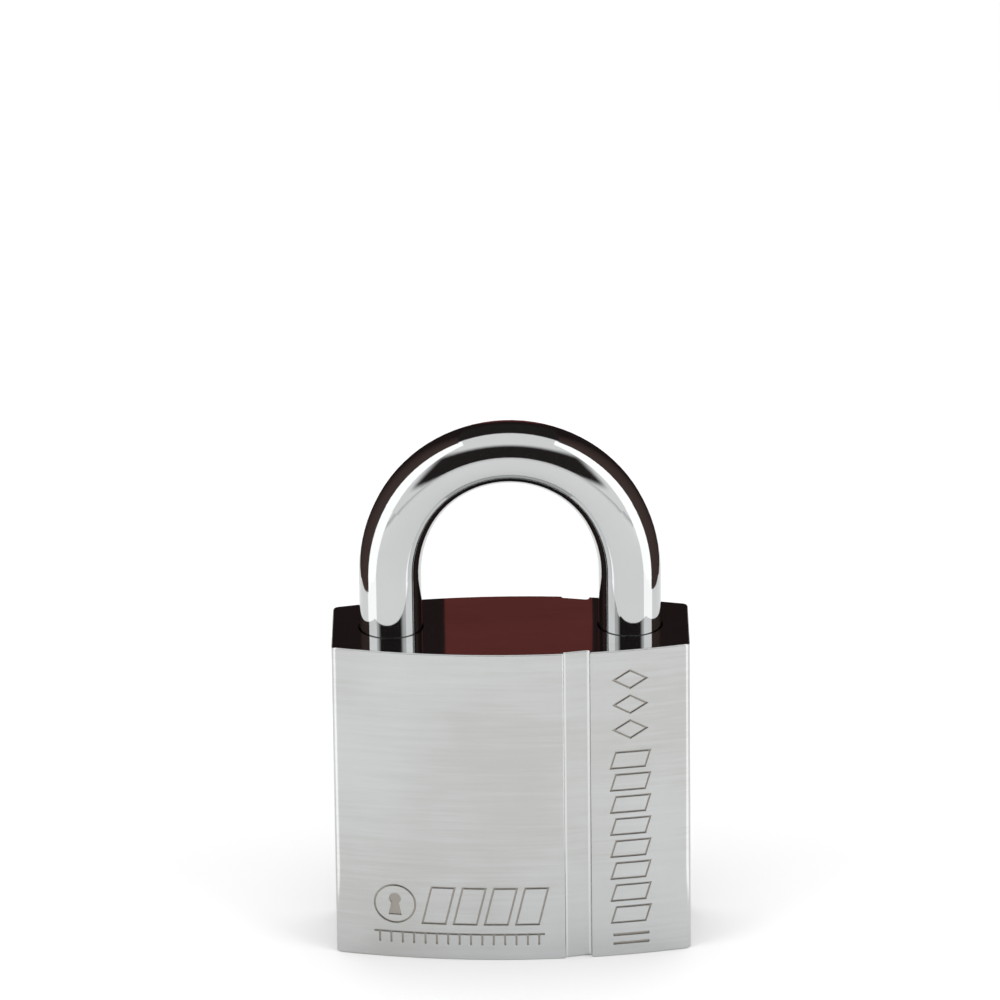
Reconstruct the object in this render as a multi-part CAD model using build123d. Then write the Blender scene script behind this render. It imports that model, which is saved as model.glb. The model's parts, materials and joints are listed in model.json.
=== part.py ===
from build123d import *
import math
import os

# Closed-shackle style padlock: solid plated steel body, round hardened shackle held by two
# locking balls, and a rotating disc cylinder put in from the underside.
# Millimetres. Origin: middle of the body's flat underside. X runs across the front face,
# -Y is the front, +Z is up, towards the shackle.

# ---- driving dimensions: body ----
body_width = 57.0
body_height = 53.0
body_thickness = 25.0        # through the middle of the bowed faces
side_thickness = 17.0        # of the flat sides
corner_round = 1.1           # upright corners
edge_bevel = 0.15            # top and bottom rims

# ---- upright groove, the same on front and back ----
groove_start = 8.4           # left step, right of the middle
groove_width = 4.2
groove_depth_start = 0.5
groove_depth_end = 1.0       # the floor slants down to the right step
groove_edge_round = 0.4      # outer edge of the left step
groove_corner_round = 0.5    # foot of the right step

# ---- shackle ----
shackle_diameter = 10.0
leg_spacing = 38.2           # centre to centre
straight_above_body = 9.3    # to where the bend starts
bend_side_extra = 3.4        # side arcs' radius, above half the leg spacing
bend_rise_extra = 1.4        # height of the bend, above half the leg spacing
leg_clearance = 0.15
toe_depth = 15.0             # toe leg's end, below the body's top
lift_clearance = 1.0         # toe leg's end above the body when the shackle is up
foot_length = 4.0            # heel leg below its neck
toe_nose = 1.2
foot_nose = 0.8
bore_end_gap = 0.5

# ---- locking balls ----
ball_diameter = 9.0
ball_clearance = 0.1
ball_depth_below_top = 9.5
engagement = 2.0             # how far a ball stands in its leg when locked
toe_release = 0.1            # gap left by the toe ball when open
heel_hold = 0.8              # how far the heel ball still stands in its leg when open
heel_slot_depth = 1.0

# ---- cylinder ----
cylinder_diameter = 17.9
cylinder_clearance = 0.05
cylinder_depth = 36.0        # of its bore, from the underside
cylinder_recess = 0.4
face_bevel = 0.3             # of the cylinder's visible rims
shell_wall = 1.45
front_lip = 1.5
lip_reach = 1.0              # how far the lip stands in from the chamber wall
running_clearance = 0.05
end_play = 0.1
core_wall = 1.3
plate_flange = 1.0
drill_plate_thickness = 2.0
disc_count = 11
disc_thickness = 1.7
spacer_thickness = 0.55
disc_clearance = 0.05
code_step = 15.0             # degrees between two neighbouring cuts of the key
code_cuts = 6
code_stride = 3              # cuts from one disc to the next, round the code_cuts
first_code = 2               # cut of the lowest disc
disc_rim = 2.2               # from the keyway's round side to the disc's edge
keyway_flat = 1.1            # flat of the half-round keyway, from the axis
spacer_rim = 1.8
gate_depth = 1.1             # how far the sidebar stands in the discs
false_gate_depth = 0.55
sidebar_width = 1.6
sidebar_end_margin = 1.2
washer_thickness = 0.95
ring_thickness = 0.8
ring_gap = 0.2               # above the ring, to the end of the shell
ring_reach = 0.45            # how far the ring sits in the shell's groove
ring_radial_width = 1.5
ring_opening = 40.0

# ---- drive ----
boss_radius = 3.4
boss_clearance = 0.2
boss_rise = 1.0              # boss above the cylinder's bore
tang_width = 5.6
tang_thickness = 2.8
tang_length = 6.0
slot_clearance = 0.05
cam_clearance = 0.2
cam_overhang = 3.6           # cam above and below the balls' middle
cam_roof_gap = 0.4
lock_turn = 90.0             # key's turn from open to locked
cam_dwell = 14.0             # degrees of full radius past the locked position
cam_return = 55.0            # degrees over which a lobe falls away
flank_arcs = 4               # arcs that make up a rising flank

# ---- cylinder retainer ----
pin_diameter = 4.0
pin_height = 25.0
pin_bite = 1.0               # how far the pin stands in the shell
pin_hole_clearance = 0.05
screw_diameter = 6.0
screw_thread_length = 7.0
screw_tip_diameter = 4.0
screw_past_pin = 3.1         # tip's end below the pin's middle
screw_sink = 0.6             # screw's top below the toe bore's floor
hex_key_size = 3.0
hex_key_depth = 3.0

# ---- engraving ----
engraving_depth = 0.2
engraving_line = 0.3
emblem_x = -19.0
emblem_z = 9.4
emblem_radius = 3.4
keyhole_eye_radius = 0.95
keyhole_eye_rise = 0.85      # eye's middle above the emblem's
keyhole_foot_width = 2.1
keyhole_foot_height = 2.5
keyhole_foot_drop = 0.7      # foot's middle below the emblem's
keyhole_foot_angle = 78.0
band_first_tile = -12.0
band_tile_width = 4.0
band_tile_height = 6.6
band_tile_pitch = 5.0
band_tile_slant = 1.6
band_tiles = 4
rule_z = 4.5
rule_length = 27.4
rule_ticks = 15
tick_height = 1.7
panel_middle = 18.9
panel_tile_width = 5.8
panel_tile_height = 3.0
panel_tile_pitch = 3.85
panel_tile_slant = 0.9
panel_tiles = 8
panel_tiles_start = 7.2
panel_lozenge_pitch = 4.3
panel_lozenge_height = 3.4
panel_lozenges = 3
panel_lozenges_start = 39.4
panel_bar_height = 0.45
panel_bar_pitch = 1.5
panel_bars = 2
panel_bars_start = 2.2

# ---- shared by many pieces ----
inner_bevel = 0.3            # screw and sidebar
overcut = 1.0                # how far a cutting solid runs past what it cuts

# ---- what follows from them ----
shackle_radius = shackle_diameter / 2
leg_x = leg_spacing / 2
leg_bore_radius = shackle_radius + leg_clearance
lift = toe_depth + lift_clearance
ball_radius = ball_diameter / 2
ball_z = body_height - ball_depth_below_top
leg_face_x = leg_x - shackle_radius
locked_ball_x = leg_face_x + engagement - ball_radius
toe_ball_x = leg_face_x - toe_release - ball_radius
heel_ball_x = leg_face_x + heel_hold - ball_radius
notch_radius = ball_radius + ball_clearance
notch_half_height = math.sqrt(notch_radius**2 - (leg_face_x - locked_ball_x)**2)
neck_radius = shackle_radius - engagement - ball_clearance
neck_half_height = notch_half_height + ball_clearance
neck_z = ball_z - lift
heel_end_z = neck_z - neck_half_height - foot_length
toe_end_z = body_height - toe_depth
toe_bore_floor = toe_end_z - bore_end_gap

shell_radius = cylinder_diameter / 2
cylinder_bore_radius = shell_radius + cylinder_clearance
chamber_radius = shell_radius - shell_wall
lip_radius = chamber_radius - lip_reach
core_radius = chamber_radius - running_clearance
nose_radius = lip_radius - running_clearance
disc_chamber_radius = core_radius - core_wall
disc_radius = disc_chamber_radius - disc_clearance
keyway_radius = disc_radius - disc_rim
spacer_hole_radius = disc_radius - spacer_rim
sidebar_inner_radius = disc_radius - gate_depth
lip_top = cylinder_recess + front_lip
plate_bottom = lip_top + end_play
stack_bottom = plate_bottom + plate_flange
first_disc_bottom = stack_bottom + drill_plate_thickness + spacer_thickness
disc_pitch = disc_thickness + spacer_thickness
stack_top = first_disc_bottom + disc_count * disc_pitch
ring_top = cylinder_depth - ring_gap
ring_bottom = ring_top - ring_thickness
washer_bottom = ring_bottom - washer_thickness
core_top = washer_bottom - end_play
boss_top = cylinder_depth + boss_rise
cam_bottom = boss_top
cam_top = ball_z + cam_overhang
cam_roof = cam_top + cam_roof_gap
cam_high_radius = locked_ball_x - ball_radius
cam_bore_radius = cam_high_radius + cam_clearance
screw_top = toe_bore_floor - screw_sink
screw_thread_low = screw_top - screw_thread_length
screw_low = pin_height - screw_past_pin

bow_rise = (body_thickness - side_thickness) / 2
bow_radius = (bow_rise**2 + (body_width / 2)**2) / (2 * bow_rise)
bow_middle = bow_radius - body_thickness / 2


def face_y(x):
    """Distance of the bowed faces from the middle plane, at x."""
    return math.sqrt(bow_radius**2 - x**2) - bow_middle


def rod(radius, low, high, x=0.0):
    """Upright round bar between two heights."""
    return Pos(x, 0, (low + high) / 2) * Cylinder(radius, high - low)


def cross_rod(radius, left, right, z):
    """Round bar along X between two places."""
    return Pos((left + right) / 2, 0, z) * Rot(0, 90, 0) * Cylinder(radius, right - left)


# ---- engraved ornament ----
def outlined(shape):
    return shape - offset(shape, -engraving_line, kind=Kind.INTERSECTION)


def slanted_tile(width, height, slant):
    half_width = width / 2
    half_height = height / 2
    corners = [
        (-half_width - slant / 2, -half_height),
        (half_width - slant / 2, -half_height),
        (half_width + slant / 2, half_height),
        (-half_width + slant / 2, half_height),
    ]
    return make_face(Polyline(*corners, close=True))


def keyhole_emblem():
    """A ring round a plain keyhole."""
    ring = Circle(emblem_radius) - Circle(emblem_radius - engraving_line)
    eye = Pos(0, keyhole_eye_rise) * Circle(keyhole_eye_radius)
    foot = Trapezoid(keyhole_foot_width, keyhole_foot_height, keyhole_foot_angle)
    foot = Pos(0, -keyhole_foot_drop) * foot
    return ring + (eye + foot)


def lower_band():
    """Slanted tiles beside the emblem, over a ruled line with ticks."""
    marks = Pos(emblem_x, emblem_z) * keyhole_emblem()
    for tile in range(band_tiles):
        place = Pos(band_first_tile + tile * band_tile_pitch, emblem_z)
        marks += place * outlined(slanted_tile(band_tile_width, band_tile_height, band_tile_slant))
    rule_left = emblem_x - emblem_radius
    marks += Pos(rule_left + rule_length / 2, rule_z) * Rectangle(rule_length, engraving_line)
    for tick in range(rule_ticks):
        tick_x = rule_left + (tick + 0.5) * rule_length / rule_ticks
        tick_z = rule_z - (tick_height + engraving_line) / 2
        marks += Pos(tick_x, tick_z) * Rectangle(engraving_line, tick_height)
    return marks


def lozenge(width, height):
    corners = [(-width / 2, 0), (0, -height / 2), (width / 2, 0), (0, height / 2)]
    return make_face(Polyline(*corners, close=True))


def panel_column():
    """Bars, tiles and lozenges one above the other up the panel right of the groove."""
    marks = Sketch()
    for bar in range(panel_bars):
        place = Pos(panel_middle, panel_bars_start + bar * panel_bar_pitch)
        marks += place * Rectangle(panel_tile_width, panel_bar_height)
    for tile in range(panel_tiles):
        place = Pos(panel_middle, panel_tiles_start + tile * panel_tile_pitch)
        marks += place * outlined(slanted_tile(panel_tile_width, panel_tile_height, panel_tile_slant))
    for number in range(panel_lozenges):
        place = Pos(panel_middle, panel_lozenges_start + number * panel_lozenge_pitch)
        marks += place * outlined(lozenge(panel_tile_width, panel_lozenge_height))
    return marks


def engraving():
    marks = lower_band() + panel_column()
    through = extrude(Plane.XZ * marks, body_thickness)
    skin = Cylinder(bow_radius + overcut, body_height) - Cylinder(bow_radius - engraving_depth, body_height)
    return through & (Pos(0, bow_middle, body_height / 2) * skin)


# ---- body ----
def grooved(plan):
    """The body's plan with the groove in its front and its back."""
    groove_end = groove_start + groove_width
    edge_y = face_y(groove_start)
    foot_y = face_y(groove_end) - groove_depth_end
    corners = [
        (groove_start, -body_thickness),
        (groove_start, groove_depth_start - edge_y),
        (groove_end, -foot_y),
        (groove_end, -body_thickness),
    ]
    groove = make_face(Polyline(*corners, close=True))
    plan -= groove
    plan -= mirror(groove, about=Plane.XZ)
    plan = fillet(corners_at(plan, groove_start, edge_y), groove_edge_round)
    return fillet(corners_at(plan, groove_end, foot_y), groove_corner_round)


def corners_at(plan, x, y):
    """The plan's corners at x, as far as y to the front and to the back."""
    places = [Vector(x, -y, 0), Vector(x, y, 0)]
    return [min(plan.vertices(), key=lambda corner: (Vector(corner) - place).length) for place in places]


def body_blank():
    half_width = body_width / 2
    half_side = side_thickness / 2
    half_middle = body_thickness / 2
    outline = [
        ThreePointArc((-half_width, -half_side), (0, -half_middle), (half_width, -half_side)),
        Line((half_width, -half_side), (half_width, half_side)),
        ThreePointArc((half_width, half_side), (0, half_middle), (-half_width, half_side)),
        Line((-half_width, half_side), (-half_width, -half_side)),
    ]
    plan = make_face(Curve() + outline)
    plan = fillet(plan.vertices(), corner_round)
    plan = grooved(plan)
    blank = extrude(plan, body_height)
    rims = blank.faces().sort_by(Axis.Z)[-1].edges() + blank.faces().sort_by(Axis.Z)[0].edges()
    return chamfer(rims, edge_bevel)


def lock_body():
    solid = body_blank()
    solid -= rod(leg_bore_radius, heel_end_z - bore_end_gap, body_height, -leg_x)
    solid -= rod(leg_bore_radius, toe_bore_floor, body_height, leg_x)
    solid -= cross_rod(notch_radius, -leg_x, leg_x, ball_z)
    solid -= rod(cylinder_bore_radius, 0, cylinder_depth)
    solid -= rod(cam_bore_radius, cylinder_depth, cam_roof)
    solid -= rod(screw_diameter / 2, screw_thread_low, toe_bore_floor, leg_x)
    tip_hole_radius = screw_tip_diameter / 2 + pin_hole_clearance
    solid -= rod(tip_hole_radius, screw_low - bore_end_gap, screw_thread_low, leg_x)
    solid -= cross_rod(pin_diameter / 2 + pin_hole_clearance, 0, leg_x, pin_height)
    solid -= engraving()
    return solid


# ---- cylinder retainer ----
def retaining_screw():
    screw = rod(screw_diameter / 2 - pin_hole_clearance, screw_thread_low, screw_top, leg_x)
    screw = chamfer(screw.edges().group_by(Axis.Z)[-1], inner_bevel)
    screw += rod(screw_tip_diameter / 2, screw_low, screw_thread_low, leg_x)
    socket = extrude(RegularPolygon(hex_key_size / 2, 6, major_radius=False), hex_key_depth)
    return screw - Pos(leg_x, 0, screw_top - hex_key_depth) * socket


def retaining_pin():
    pin_left = shell_radius - pin_bite
    pin_right = leg_x - screw_tip_diameter / 2 - pin_hole_clearance
    blank = cross_rod(pin_diameter / 2, 0, leg_x, pin_height)
    # The inner end is hollowed to the pocket in the round shell and the outer end is flat.
    blank -= rod(pin_left, 0, body_height)
    return blank - Pos(pin_right + body_width / 2, 0, pin_height) * Box(body_width, body_width, body_width)


# ---- shackle ----
def bend_half():
    """Side arc's radius, top arc's radius and the angle at which they meet."""
    side_radius = leg_x + bend_side_extra
    fall = (bend_side_extra - bend_rise_extra) / bend_side_extra
    meeting = 90 - 2 * math.degrees(math.atan(fall))
    top_radius = side_radius - bend_side_extra / math.cos(math.radians(meeting))
    return side_radius, top_radius, meeting


def shackle_path():
    side_radius, top_radius, meeting = bend_half()
    spring_z = body_height + straight_above_body
    top_centre_z = spring_z + leg_x + bend_rise_extra - top_radius
    pieces = [
        Line((-leg_x, 0, heel_end_z), (-leg_x, 0, spring_z)),
        Line((leg_x, 0, spring_z), (leg_x, 0, toe_end_z)),
    ]

    def on_side(angle, sign):
        turn = math.radians(angle)
        x = leg_x - side_radius + side_radius * math.cos(turn)
        return (sign * x, 0, spring_z + side_radius * math.sin(turn))

    for sign in (-1, 1):
        pieces.append(ThreePointArc(on_side(0, sign), on_side(meeting / 2, sign), on_side(meeting, sign)))
    crown = (0, 0, top_centre_z + top_radius)
    pieces.append(ThreePointArc(on_side(meeting, -1), crown, on_side(meeting, 1)))
    return Wire([piece.edge() for piece in pieces])


def shackle():
    path = shackle_path()
    bar = sweep(Pos(-leg_x, 0, heel_end_z) * Circle(shackle_radius), path)
    ends = bar.faces().filter_by(GeomType.PLANE).sort_by(Axis.Z)
    bar = chamfer(ends[0].edges(), foot_nose)
    ends = bar.faces().filter_by(GeomType.PLANE).filter_by(Axis.Z).sort_by(Axis.Z)
    bar = chamfer(ends[-1].edges(), toe_nose)
    for sign in (-1, 1):
        bar -= Pos(sign * locked_ball_x, 0, ball_z) * Sphere(notch_radius)
    # Flat that the open heel ball runs along, from the notch down to the neck.
    flat_x = leg_face_x + heel_slot_depth
    flat_width = heel_slot_depth + overcut
    flat = Box(flat_width, shackle_diameter, ball_z - neck_z)
    bar -= Pos(-flat_x + flat_width / 2, 0, (ball_z + neck_z) / 2) * flat
    collar = Cylinder(shackle_radius + overcut, 2 * neck_half_height)
    collar -= Cylinder(neck_radius, 2 * neck_half_height)
    return bar - Pos(-leg_x, 0, neck_z) * collar


# ---- cam and balls ----
def flank(low_ball_x, clearance):
    """Rising flank that moves a ball out evenly with the turn, as points for 0 to lock_turn."""
    rise = (locked_ball_x - low_ball_x) / math.radians(lock_turn)
    reach = ball_radius + clearance
    points = []
    for step in range(2 * flank_arcs + 1):
        turn = math.radians(lock_turn * step / (2 * flank_arcs))
        centre = low_ball_x + rise * turn
        slope = math.hypot(centre, rise)
        along = centre - reach * centre / slope
        across = reach * rise / slope
        x = along * math.cos(turn) - across * math.sin(turn)
        y = along * math.sin(turn) + across * math.cos(turn)
        points.append((x, y))
    return points


def polar(radius, angle):
    return (radius * math.cos(math.radians(angle)), radius * math.sin(math.radians(angle)))


def cam_lobe(low_ball_x, next_low_ball_x):
    """Half of the cam's outline: low arc, rising flank, dwell and return."""
    gap = running_clearance
    points = flank(low_ball_x, gap)
    peak = math.hypot(*points[-1])
    peak_angle = math.degrees(math.atan2(points[-1][1], points[-1][0]))
    dwell_end = peak_angle + cam_dwell
    return_end = dwell_end + cam_return
    low = low_ball_x - ball_radius - gap
    next_low = next_low_ball_x - ball_radius - gap
    middle = (return_end + 180) / 2
    rising = [ThreePointArc(*points[start:start + 3]) for start in range(0, 2 * flank_arcs, 2)]
    return rising + [
        Line(polar(low, 0), points[0]),
        ThreePointArc(points[-1], polar(peak, peak_angle + cam_dwell / 2), polar(peak, dwell_end)),
        Line(polar(peak, dwell_end), polar(next_low, return_end)),
        ThreePointArc(polar(next_low, return_end), polar(next_low, middle), polar(next_low, 180)),
    ]


def driver_cam():
    toe_side = Curve() + cam_lobe(toe_ball_x, heel_ball_x)
    heel_side = Rot(0, 0, 180) * (Curve() + cam_lobe(heel_ball_x, toe_ball_x))
    cam = extrude(make_face(toe_side + heel_side), cam_top - cam_bottom)
    cam = Pos(0, 0, cam_bottom) * cam
    slot_length = tang_length + cam_roof_gap
    slot = Box(tang_width + 2 * slot_clearance, tang_thickness + 2 * slot_clearance, slot_length)
    return cam - Pos(0, 0, cam_bottom + slot_length / 2) * slot


def ball(x):
    return Pos(x, 0, ball_z) * Sphere(ball_radius)


# ---- cylinder ----
def keyway(radius, height):
    """Half-round key passage about the Z axis, flat side towards -Y."""
    half_round = Circle(radius) - Pos(0, -keyway_flat - radius) * Rectangle(4 * radius, 2 * radius)
    return extrude(half_round, height)


def sidebar_cut(inner, outer, low, high):
    """Slot for the sidebar, on the +X side."""
    width = sidebar_width + 2 * slot_clearance
    return Pos((inner + outer) / 2, 0, (low + high) / 2) * Box(outer - inner, width, high - low)


def cylinder_shell():
    shell = rod(shell_radius, cylinder_recess, cylinder_depth)
    shell = chamfer(shell.edges().group_by(Axis.Z)[0], face_bevel)
    shell -= rod(chamber_radius, lip_top, cylinder_depth)
    shell -= rod(lip_radius, 0, lip_top)
    shell -= rod(chamber_radius + ring_reach, ring_bottom, ring_top)
    # Groove for the sidebar on the front, where it stands when the lock is locked.
    groove_side = sidebar_width + 2 * slot_clearance
    groove = Box(groove_side, 2 * ring_reach, stack_top - stack_bottom)
    shell -= Pos(0, -chamber_radius, (stack_bottom + stack_top) / 2) * groove
    pocket = cross_rod(pin_diameter / 2 + pin_hole_clearance, 0, body_width, pin_height)
    return shell - (pocket - rod(shell_radius - pin_bite, 0, body_height))


def keyway_plate():
    plate = rod(core_radius, plate_bottom, stack_bottom)
    nose = rod(nose_radius, cylinder_recess + end_play, plate_bottom)
    plate += chamfer(nose.edges().group_by(Axis.Z)[0], face_bevel)
    return plate - keyway(keyway_radius + disc_clearance, stack_bottom)


def drill_plate():
    top = stack_bottom + drill_plate_thickness
    plate = rod(disc_radius, stack_bottom, top)
    return plate - keyway(keyway_radius, top)


def rotor_core():
    core = rod(core_radius, stack_bottom, core_top)
    core -= rod(disc_chamber_radius, stack_bottom, stack_top)
    low = stack_bottom + drill_plate_thickness
    core -= sidebar_cut(sidebar_inner_radius, core_radius + overcut, low, stack_top)
    core += rod(boss_radius, core_top, boss_top)
    tang = Box(tang_width, tang_thickness, tang_length)
    return core + Pos(0, 0, boss_top + tang_length / 2) * tang


def code_disc(index):
    """A code disc: its gate faces the sidebar and its keyway is turned by the key's cut."""
    bottom = first_disc_bottom + index * disc_pitch
    top = bottom + disc_thickness
    disc = rod(disc_radius, bottom, top)
    disc -= sidebar_cut(sidebar_inner_radius - disc_clearance, core_radius, bottom, top)
    cut = (code_stride * index + first_code) % code_cuts
    # A shallow false gate stands on each side of the true one, one step further for each cut.
    for side in (-1, 1):
        false_gate = Box(2 * false_gate_depth, sidebar_width, disc_thickness)
        place = Pos(disc_radius, 0, (bottom + top) / 2)
        disc -= Rot(0, 0, side * (2 * code_step + cut * code_step)) * place * false_gate
    passage = Pos(0, 0, bottom) * keyway(keyway_radius, disc_thickness)
    return disc - Rot(0, 0, cut * code_step) * passage


def spacer(index):
    bottom = first_disc_bottom + index * disc_pitch - spacer_thickness
    top = bottom + spacer_thickness
    ring = rod(disc_radius, bottom, top) - rod(spacer_hole_radius, bottom, top)
    return ring - sidebar_cut(sidebar_inner_radius - disc_clearance, core_radius, bottom, top)


def sidebar():
    low = stack_bottom + drill_plate_thickness + sidebar_end_margin
    high = stack_top - sidebar_end_margin
    bar = Box(core_radius - sidebar_inner_radius - disc_clearance, sidebar_width, high - low)
    bar = chamfer(bar.edges().filter_by(Axis.Z).sort_by(Axis.X)[:2], inner_bevel)
    return Pos((core_radius + sidebar_inner_radius - disc_clearance) / 2, 0, (low + high) / 2) * bar


def thrust_washer():
    washer = rod(chamber_radius - disc_clearance, washer_bottom, ring_bottom)
    return washer - rod(boss_radius + boss_clearance, washer_bottom, ring_bottom)


def retaining_ring():
    outer = chamber_radius + ring_reach - disc_clearance
    inner = outer - ring_radial_width
    ring = rod(outer, ring_bottom, ring_top) - rod(inner, ring_bottom, ring_top)
    opening = 2 * outer * math.sin(math.radians(ring_opening / 2))
    return ring - Pos(0, outer, (ring_bottom + ring_top) / 2) * Box(opening, 2 * outer, ring_thickness)


def save(name, shape):
    export_step(shape, f"parts/{name}.step")


os.makedirs("parts", exist_ok=True)
save("lock_body", lock_body())
save("shackle", shackle())
save("toe_ball", ball(toe_ball_x))
save("heel_ball", ball(-heel_ball_x))
save("driver_cam", driver_cam())
save("cylinder_shell", cylinder_shell())
save("keyway_plate", keyway_plate())
save("drill_plate", drill_plate())
save("rotor_core", rotor_core())
save("sidebar", sidebar())
save("thrust_washer", thrust_washer())
save("retaining_ring", retaining_ring())
save("retaining_pin", retaining_pin())
save("retaining_screw", retaining_screw())
for number in range(disc_count):
    save(f"code_disc_{number + 1:02d}", code_disc(number))
for number in range(disc_count + 1):
    save(f"spacer_{number + 1:02d}", spacer(number))

print("lift", lift, "toe ball travel", locked_ball_x - toe_ball_x)
print("heel ball travel", locked_ball_x - heel_ball_x, "stack top", stack_top, "core top", core_top)
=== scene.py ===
import json
import math

import bpy
from mathutils import Euler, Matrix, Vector


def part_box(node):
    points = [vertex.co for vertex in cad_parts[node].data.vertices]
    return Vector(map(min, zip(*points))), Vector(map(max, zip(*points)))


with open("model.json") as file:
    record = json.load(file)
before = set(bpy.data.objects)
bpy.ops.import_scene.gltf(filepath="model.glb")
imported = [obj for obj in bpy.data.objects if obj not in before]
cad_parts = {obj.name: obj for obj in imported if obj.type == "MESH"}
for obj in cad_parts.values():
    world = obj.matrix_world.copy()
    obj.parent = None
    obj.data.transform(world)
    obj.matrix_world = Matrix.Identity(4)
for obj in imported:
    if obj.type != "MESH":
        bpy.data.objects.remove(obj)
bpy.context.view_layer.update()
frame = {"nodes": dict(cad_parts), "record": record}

MM = 0.001

# ---- places on the lock, as in the CAD ----
side_half = 8.5 * MM          # half the thickness of the body's flat sides
leg_x = 19.1 * MM             # from the middle to each leg's axis
leg_bore = 5.15 * MM          # radius of the holes that the shackle's legs go down
groove_left = 8.4 * MM
groove_right = 12.6 * MM
emblem_left = -24 * MM        # the engraved emblem's field, left of the groove
emblem_right = 8 * MM
column_left = 13 * MM         # the engraved column's field, right of the groove
column_right = 24 * MM
engraving_margin = 1 * MM     # kept clear at the body's top and bottom
deepest_line = 0.5 * MM       # more than the depth of any engraved line

# ---- materials ----


class Nodes:
    """Short way to add and wire the nodes of one material or world."""

    def __init__(self, tree):
        self.tree = tree
        tree.nodes.clear()

    def add(self, kind, **settings):
        node = self.tree.nodes.new(kind)
        for name, value in settings.items():
            setattr(node, name, value)
        return node

    def feed(self, socket, value):
        """Wire another node's output to the socket, or set it to a plain value."""
        if isinstance(value, bpy.types.NodeSocket):
            self.tree.links.new(value, socket)
        else:
            socket.default_value = value

    def math(self, operation, a, b=0.0):
        node = self.add("ShaderNodeMath", operation=operation)
        self.feed(node.inputs[0], a)
        self.feed(node.inputs[1], b)
        return node.outputs[0]

    def product(self, first, *others):
        """All the values multiplied together."""
        result = first
        for value in others:
            result = self.math("MULTIPLY", result, value)
        return result

    def between(self, value, low, high):
        """1 where the value lies between low and high, 0 elsewhere."""
        above = self.math("GREATER_THAN", value, low)
        return self.math("MULTIPLY", above, self.math("LESS_THAN", value, high))

    def length(self, a, b):
        """Length of the flat vector whose parts are a and b."""
        squares = self.math("ADD", self.math("MULTIPLY", a, a), self.math("MULTIPLY", b, b))
        return self.math("SQRT", squares)

    def ramp(self, value, low, high, to_low=0.0, to_high=1.0):
        """Smooth step from to_low, where the value is low, to to_high, where it is high."""
        node = self.add("ShaderNodeMapRange", interpolation_type="SMOOTHSTEP")
        node.clamp = True
        for index, item in enumerate((value, low, high, to_low, to_high)):
            self.feed(node.inputs[index], item)
        return node.outputs[0]

    def mix(self, factor, a, b):
        """Colour between a and b, through the colour sockets of the Mix node."""
        node = self.add("ShaderNodeMix", data_type="RGBA")
        self.feed(node.inputs[0], factor)
        self.feed(node.inputs[6], a)
        self.feed(node.inputs[7], b)
        return node.outputs[2]

    def mix_value(self, factor, a, b):
        node = self.add("ShaderNodeMix", data_type="FLOAT")
        self.feed(node.inputs[0], factor)
        self.feed(node.inputs[2], a)
        self.feed(node.inputs[3], b)
        return node.outputs[0]

    def axes(self, vector):
        """The X, Y and Z sockets of a vector."""
        node = self.add("ShaderNodeSeparateXYZ")
        self.feed(node.inputs[0], vector)
        return node.outputs

    def coordinates(self, kind):
        """Texture coordinates of one kind, such as Object, which is in metres, or Normal."""
        return self.add("ShaderNodeTexCoord").outputs[kind]

    def noise(self, scale, stretch=(1, 1, 1), detail=3.0, roughness=0.5):
        """Cloudy noise, finer along an axis whose stretch is over 1 and longer where it is under."""
        mapping = self.add("ShaderNodeMapping")
        self.feed(mapping.inputs["Vector"], self.coordinates("Object"))
        mapping.inputs["Scale"].default_value = stretch
        node = self.add("ShaderNodeTexNoise")
        self.feed(node.inputs["Vector"], mapping.outputs[0])
        node.inputs["Scale"].default_value = scale
        node.inputs["Detail"].default_value = detail
        node.inputs["Roughness"].default_value = roughness
        return node.outputs["Fac"]

    def soft_edges(self, radius):
        """Surface direction with sharp edges rounded off, so that they catch the light."""
        node = self.add("ShaderNodeBevel", samples=6)
        node.inputs["Radius"].default_value = radius
        return node.outputs[0]

    def bump(self, height, strength, distance, normal):
        node = self.add("ShaderNodeBump")
        self.feed(node.inputs["Height"], height)
        node.inputs["Strength"].default_value = strength
        node.inputs["Distance"].default_value = distance
        self.feed(node.inputs["Normal"], normal)
        return node.outputs[0]


def rgba(colour):
    return (*colour, 1.0)


def new_material(name, kind):
    """Material with one shader of the given kind on its surface."""
    material = bpy.data.materials.new(name)
    material.use_nodes = True
    nodes = Nodes(material.node_tree)
    shader = nodes.add(kind)
    output = nodes.add("ShaderNodeOutputMaterial")
    nodes.feed(output.inputs["Surface"], shader.outputs[0])
    return material, nodes, shader


def metal(name):
    material, nodes, shader = new_material(name, "ShaderNodeBsdfPrincipled")
    shader.inputs["Metallic"].default_value = 1.0
    return material, nodes, shader


def engraved_mask(nodes):
    """1 in the engraved lines of the bowed front: just under the bow, clear of groove and corners."""
    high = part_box("lock_body")[1]
    rise = high.y - side_half
    bow_radius = (rise**2 + high.x**2) / (2 * rise)
    shallow, full = 0.04 * MM, 0.10 * MM    # depths where a line starts to tell and where it is in full
    x, y, z = nodes.axes(nodes.coordinates("Object"))
    from_axis = nodes.length(x, nodes.math("SUBTRACT", y, bow_radius - high.y))
    depth = nodes.math("SUBTRACT", bow_radius, from_axis)
    emblem = nodes.between(x, emblem_left, emblem_right)
    column = nodes.between(x, column_left, column_right)
    return nodes.product(
        nodes.ramp(depth, shallow, full),
        nodes.math("MAXIMUM", emblem, column),
        nodes.between(z, engraving_margin, high.z - engraving_margin),
        nodes.math("LESS_THAN", y, 0.0),
        nodes.math("LESS_THAN", depth, deepest_line),
    )


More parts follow.
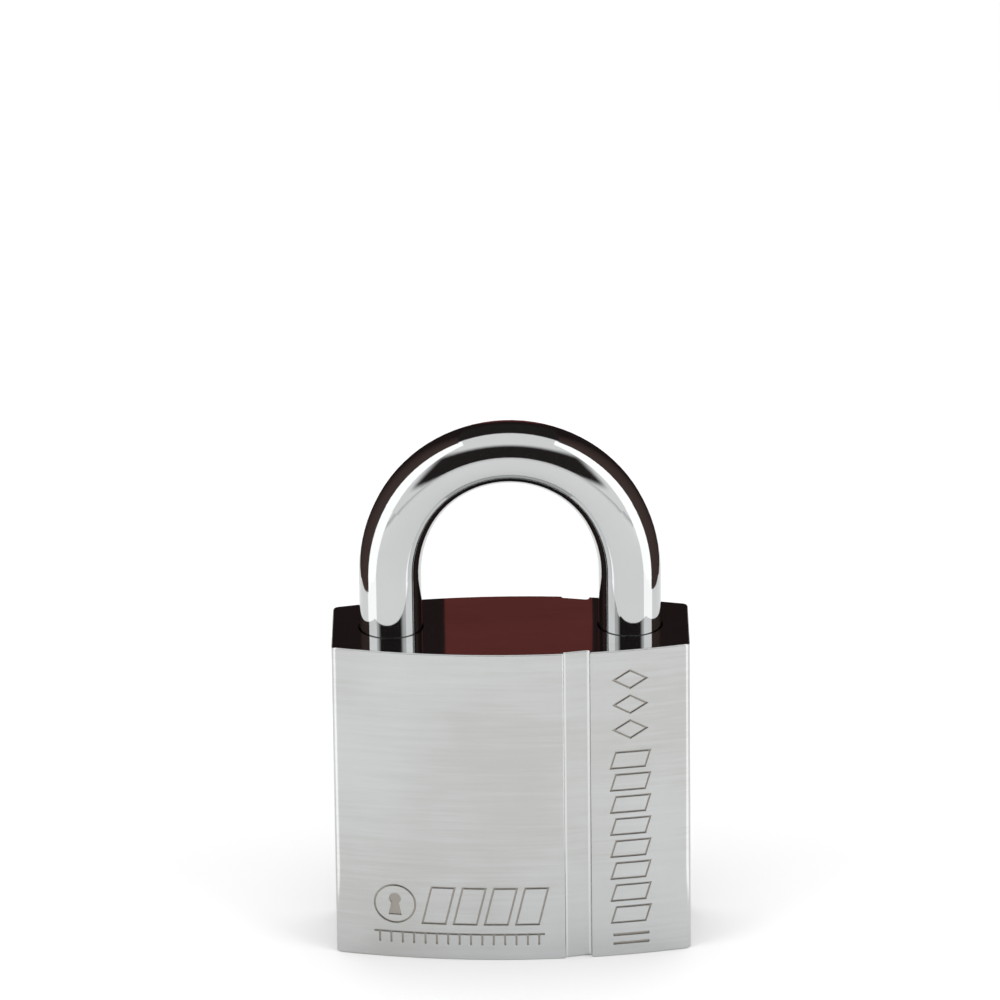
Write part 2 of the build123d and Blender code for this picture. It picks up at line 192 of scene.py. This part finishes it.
def groove_highlight_bands(nodes):
    """1 on two narrow bands in the groove, beside its steps, where a painted highlight lightens the
    plating.
    """
    left_middle, left_half = groove_left + 0.15 * MM, 0.2 * MM
    right_middle, right_half = groove_right - 0.3 * MM, 0.28 * MM
    core = 0.6                # part of a band's half width that is at full brightness
    x = nodes.axes(nodes.coordinates("Object"))[0]
    bands = 0.0
    for middle, half in ((left_middle, left_half), (right_middle, right_half)):
        away = nodes.math("ABSOLUTE", nodes.math("SUBTRACT", x, middle))
        bands = nodes.math("MAXIMUM", nodes.ramp(away, half, half * core), bands)
    return bands


def leg_hole_shade(nodes):
    """1 within each leg's hole and a hair-thin ring round it, at every height, where shade of the hole
    and the gap round the leg is painted.
    """
    ring, ring_core = 0.16 * MM, 0.08 * MM
    x, y = nodes.axes(nodes.coordinates("Object"))[:2]
    aside = nodes.math("SUBTRACT", nodes.math("ABSOLUTE", x), leg_x)
    return nodes.ramp(nodes.length(aside, y), leg_bore + ring, leg_bore + ring_core)


def satin_chrome():
    """Plated body: polished top and underside, faces brushed side to side with a cloudy sheen."""
    dull_plate = rgba((0.455, 0.46, 0.445))
    clear_plate = rgba((0.53, 0.54, 0.545))
    hairline = rgba((0.60, 0.60, 0.60))
    # lighter plating that paints a highlight on the groove's bands
    groove_highlight = rgba((0.64, 0.65, 0.65))
    # near-black painted shade for the legs' holes and the gaps round them
    gap_shade = rgba((0.03, 0.03, 0.03))
    etched_metal = rgba((0.33, 0.31, 0.28))
    dull, clear = 0.36, 0.64  # levels of the tone where the plate is at its dullest and its clearest

    material, nodes, shader = metal("satin_chrome")
    levelness = nodes.math("ABSOLUTE", nodes.axes(nodes.coordinates("Normal"))[2])
    ends = nodes.ramp(levelness, 0.85, 0.98)      # 1 on level faces, the top and the underside alike
    etched = engraved_mask(nodes)

    cloud = nodes.noise(38.0, detail=4.0)
    streaks = nodes.noise(130.0, stretch=(0.3, 1.0, 10.0), detail=6.0, roughness=0.7)
    fine = nodes.noise(520.0, stretch=(0.15, 1.0, 9.0), detail=3.0, roughness=0.7)
    tone = nodes.math("ADD", nodes.math("MULTIPLY", cloud, 0.6), nodes.math("MULTIPLY", streaks, 0.4))
    plate = nodes.mix(nodes.ramp(tone, dull, clear), dull_plate, clear_plate)
    plate = nodes.mix(nodes.ramp(fine, 0.25, 0.8, 0.0, 0.25), plate, hairline)
    off_ends = nodes.math("SUBTRACT", 1.0, ends)
    # painted highlight: lighter plating on the two bands beside the groove's steps, off the level faces
    plate = nodes.mix(nodes.math("MULTIPLY", groove_highlight_bands(nodes), off_ends), plate, groove_highlight)
    # painted shade: near-black in each leg's hole and the thin gap round it, on level faces; as ends
    # takes in the underside, it also paints dark discs there under the legs, where there are no holes
    plate = nodes.mix(nodes.math("MULTIPLY", leg_hole_shade(nodes), ends), plate, gap_shade)
    nodes.feed(shader.inputs["Base Color"], nodes.mix(etched, plate, etched_metal))

    satin = nodes.ramp(tone, dull, clear, 0.15, 0.21)
    polished, etched_rough = 0.045, 0.34
    gloss = nodes.mix_value(ends, satin, polished)
    nodes.feed(shader.inputs["Roughness"], nodes.mix_value(etched, gloss, etched_rough))

    waves = nodes.bump(nodes.noise(42.0, detail=1.0), 0.10, 0.6 * MM, nodes.soft_edges(0.12 * MM))
    nodes.feed(shader.inputs["Normal"], nodes.bump(fine, 0.05, 0.03 * MM, waves))
    return material


def bright_chrome():
    """Shackle: mirror chrome with faint waves from polishing and a few hairlines."""
    material, nodes, shader = metal("bright_chrome")
    cloud = nodes.noise(70.0, detail=3.0)
    tint = nodes.mix(cloud, rgba((0.49, 0.50, 0.50)), rgba((0.55, 0.56, 0.56)))
    nodes.feed(shader.inputs["Base Color"], tint)
    hairs = nodes.noise(1200.0, stretch=(1.0, 1.0, 0.08), detail=2.0)
    nodes.feed(shader.inputs["Roughness"], nodes.ramp(hairs, 0.3, 0.75, 0.035, 0.075))
    waves = nodes.bump(nodes.noise(60.0, detail=1.0), 0.12, 0.5 * MM, nodes.soft_edges(0.1 * MM))
    nodes.feed(shader.inputs["Normal"], nodes.bump(hairs, 0.03, 0.02 * MM, waves))
    return material


def machined(name, dark, light, rough, stretch=(1.0, 1.0, 12.0)):
    """Turned, ground or stamped metal with tool marks, cloudy tone and uneven gloss."""
    material, nodes, shader = metal(name)
    cloud = nodes.noise(180.0, detail=4.0)
    marks = nodes.noise(900.0, stretch=stretch, detail=3.0)
    tone = nodes.mix(nodes.ramp(cloud, 0.3, 0.7), rgba(dark), rgba(light))
    nodes.feed(shader.inputs["Base Color"], tone)
    nodes.feed(shader.inputs["Roughness"], nodes.ramp(marks, 0.25, 0.75, rough * 0.75, rough * 1.3))
    cut = nodes.bump(marks, 0.15, 0.03 * MM, nodes.soft_edges(0.12 * MM))
    nodes.feed(shader.inputs["Normal"], cut)
    return material


across = (1.0, 12.0, 1.0)     # marks drawn out side to side, on a flat ground plate
even = (1.0, 1.0, 1.0)        # marks with no direction, on stamped parts
finishes = {
    "body_chrome": satin_chrome(),
    "shackle_chrome": bright_chrome(),
    "hard_steel": machined("ground_steel", (0.60, 0.61, 0.62), (0.70, 0.71, 0.72), 0.12),
    "cam_steel": machined("machined_steel", (0.42, 0.42, 0.42), (0.56, 0.56, 0.56), 0.28),
    "shell_plate": machined("nickel_plate", (0.58, 0.55, 0.49), (0.68, 0.65, 0.58), 0.22),
    "plate_steel": machined("satin_steel", (0.50, 0.51, 0.52), (0.60, 0.61, 0.62), 0.25, across),
    "rotor_brass": machined("turned_brass", (0.62, 0.47, 0.22), (0.78, 0.62, 0.34), 0.22),
    "disc_brass": machined("stamped_brass", (0.66, 0.50, 0.25), (0.82, 0.66, 0.38), 0.26, even),
    "washer_steel": machined("stamped_steel", (0.50, 0.50, 0.50), (0.62, 0.62, 0.62), 0.3, even),
    "spring_steel": machined("blued_steel", (0.10, 0.11, 0.14), (0.20, 0.21, 0.25), 0.3),
    "black_steel": machined("black_oxide", (0.04, 0.04, 0.045), (0.09, 0.09, 0.095), 0.38),
}
for part in frame["record"]["subparts"]:
    for slot in frame["nodes"][part["node"]].material_slots:
        slot.material = finishes[part["material_slot"]]

# ---- floor, light and camera ----
scene = bpy.context.scene
scene.view_settings.view_transform = "Standard"


def sheet(name, corners, material):
    """Flat four-cornered stage piece."""
    mesh = bpy.data.meshes.new(name)
    mesh.from_pydata(corners, [], [(0, 1, 2, 3)])
    mesh.materials.append(material)
    thing = bpy.data.objects.new(name, mesh)
    scene.collection.objects.link(thing)
    return thing


def floor():
    half = 6.0                # half the floor's side, in metres
    material, _, shader = new_material("floor", "ShaderNodeBsdfPrincipled")
    shader.inputs["Base Color"].default_value = rgba((0.86, 0.86, 0.86))
    shader.inputs["Roughness"].default_value = 0.9
    shader.inputs["Specular IOR Level"].default_value = 0.0
    sheet("floor", [(-half, -half, 0), (half, -half, 0), (half, half, 0), (-half, half, 0)], material)


def card(name, corners, colour, far_colour=None):
    """Studio card that only shows in reflections, white to brighten or dark to edge the chrome.

    A card with a far_colour changes to it along Y.
    """
    material, nodes, glow = new_material(name, "ShaderNodeEmission")
    if far_colour is None:
        glow.inputs["Color"].default_value = rgba(colour)
    else:
        along = nodes.ramp(nodes.axes(nodes.coordinates("Generated"))[1], 0.0, 0.6)
        nodes.feed(glow.inputs["Color"], nodes.mix(along, rgba(colour), rgba(far_colour)))
    thing = sheet(name, corners, material)
    thing.visible_camera = False
    thing.visible_diffuse = False
    thing.visible_shadow = False
    thing.visible_transmission = False


def upright(x0, y0, x1, y1, low, high):
    """Corners of an upright card over the line from (x0, y0) to (x1, y1)."""
    return [(x0, y0, low), (x1, y1, low), (x1, y1, high), (x0, y0, high)]


def dark_cards():
    """Dark cards beside and behind the shackle, and a dim red one behind the top."""
    brown = (0.085, 0.057, 0.050)
    shade = (0.020, 0.013, 0.013)
    red = (0.146, 0.037, 0.033)
    body_low, body_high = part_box("lock_body")
    bow_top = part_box("shackle")[1].z
    beside = 15 * MM          # from the body's sides out to the cards
    left, right = body_low.x - beside, body_high.x + beside
    near, far = -5 * MM, 90 * MM
    low = body_high.z - 1 * MM
    high = bow_top + 65 * MM
    card("dark_left", upright(left, near, left, far, low, high), brown, shade)
    card("dark_right", upright(right, near, right, far, low, high), brown, shade)
    card("dark_back", upright(left, far, right, far, low, high), shade)

    red_left, red_right = -11.5 * MM, 13.7 * MM
    red_y = far - 1 * MM
    red_high = bow_top + 20 * MM
    card("red_back", upright(red_left, red_y, red_right, red_y, low, red_high), red)


def white_cards():
    """White cards beside the lock, each with a wedge of white floor that narrows towards the body."""
    side_white = (1.9, 1.9, 1.9)
    floor_white = (1.75, 1.75, 1.75)
    card_x = 170 * MM
    card_front, card_back = -118 * MM, -4 * MM
    card_high = 420 * MM
    tip_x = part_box("lock_body")[1].x + 20 * MM
    tip_front, tip_back = -29 * MM, -5 * MM
    level = 0.5 * MM          # just above the floor
    for side, word in ((-1, "left"), (1, "right")):
        x = side * card_x
        card(f"white_{word}", upright(x, card_front, x, card_back, 0, card_high), side_white)
        wedge = [
            (side * tip_x, tip_back, level),
            (x, card_back, level),
            (x, card_front, level),
            (side * tip_x, tip_front, level),
        ]
        card(f"white_floor_{word}", wedge, floor_white)


def panel(name, size, at, power):
    """Soft light box aimed at the middle of the object, not seen by the camera or in reflections."""
    light = bpy.data.lights.new(name, "AREA")
    light.shape = "SQUARE"
    light.size = size
    light.energy = power
    thing = bpy.data.objects.new(name, light)
    thing.location = at
    aim = Vector((0, 0, 40 * MM)) - Vector(at)
    thing.rotation_euler = aim.to_track_quat("-Z", "Y").to_euler()
    thing.visible_camera = False
    thing.visible_glossy = False
    scene.collection.objects.link(thing)


def dark_gaps(nodes):
    """1 in the dark parts of the surroundings, by direction: one behind the lock, one before it.

    Each pair is where a gap has faded out and where it is full, as a part of the unit direction.
    """
    back_near, back_side = (0.0, 0.08), (0.80, 0.70)
    front_low, front_high = (-0.24, -0.12), (0.78, 0.60)
    front_side, front_near = (0.72, 0.54), (-0.1, -0.3)
    front_slope = 0.62        # the front gap's lower edge rises this steeply to the sides
    x, y, z = nodes.axes(nodes.coordinates("Generated"))
    aside = nodes.math("ABSOLUTE", x)
    back = nodes.product(nodes.ramp(y, *back_near), nodes.ramp(aside, *back_side))
    above_edge = nodes.math("SUBTRACT", z, nodes.math("MULTIPLY", aside, front_slope))
    front = nodes.product(
        nodes.ramp(above_edge, *front_low),
        nodes.ramp(z, *front_high),
        nodes.ramp(aside, *front_side),
        nodes.ramp(y, *front_near),
    )
    return nodes.math("MAXIMUM", back, front)


def studio_world():
    """Pale surroundings: a plain backdrop, soft even light, and dark gaps that only metal mirrors."""
    world = bpy.data.worlds.new("studio")
    world.use_nodes = True
    scene.world = world
    nodes = Nodes(world.node_tree)
    output = nodes.add("ShaderNodeOutputWorld")
    studio = nodes.add("ShaderNodeBackground")
    dark = rgba((0.022, 0.018, 0.018))
    nodes.feed(studio.inputs["Color"], nodes.mix(dark_gaps(nodes), rgba((1.0, 1.0, 1.0)), dark))
    studio.inputs["Strength"].default_value = 1.15
    soft = nodes.add("ShaderNodeBackground")
    soft.inputs["Color"].default_value = rgba((0.9, 0.9, 0.9))
    backdrop = nodes.add("ShaderNodeBackground")
    backdrop.inputs["Color"].default_value = rgba((0.775, 0.775, 0.775))
    rays = nodes.add("ShaderNodeLightPath")
    unlit = nodes.add("ShaderNodeMixShader")
    nodes.feed(unlit.inputs[0], rays.outputs["Is Camera Ray"])
    nodes.feed(unlit.inputs[1], soft.outputs[0])
    nodes.feed(unlit.inputs[2], backdrop.outputs[0])
    choose = nodes.add("ShaderNodeMixShader")
    nodes.feed(choose.inputs[0], rays.outputs["Is Glossy Ray"])
    nodes.feed(choose.inputs[1], unlit.outputs[0])
    nodes.feed(choose.inputs[2], studio.outputs[0])
    nodes.feed(output.inputs["Surface"], choose.outputs[0])


floor()
dark_cards()
white_cards()
panel("light_left", size=0.6, at=(-0.8, -0.5, 0.7), power=3.0)
panel("light_right", size=0.6, at=(0.8, -0.5, 0.7), power=3.0)
panel("light_top", size=1.0, at=(0, 0.1, 1.4), power=4.0)
studio_world()


def camera():
    """Long lens, a little over 21 degrees above the horizon, nearly square to the front."""
    data = bpy.data.cameras.new("camera")
    data.sensor_width = 36.0
    data.lens = 303.7
    data.clip_start = 0.01
    data.clip_end = 100.0
    tilt, lean, heading = math.radians(68.513), math.radians(0.626), math.radians(-0.0055)
    turn = Euler((tilt, lean, heading), "XYZ")
    target = Vector((-1.44, 0.0, 74.55)) * MM
    distance = 1340.0 * MM
    thing = bpy.data.objects.new("camera", data)
    thing.rotation_euler = turn
    thing.location = target + turn.to_matrix() @ Vector((0, 0, distance))
    scene.collection.objects.link(thing)
    scene.camera = thing


camera()
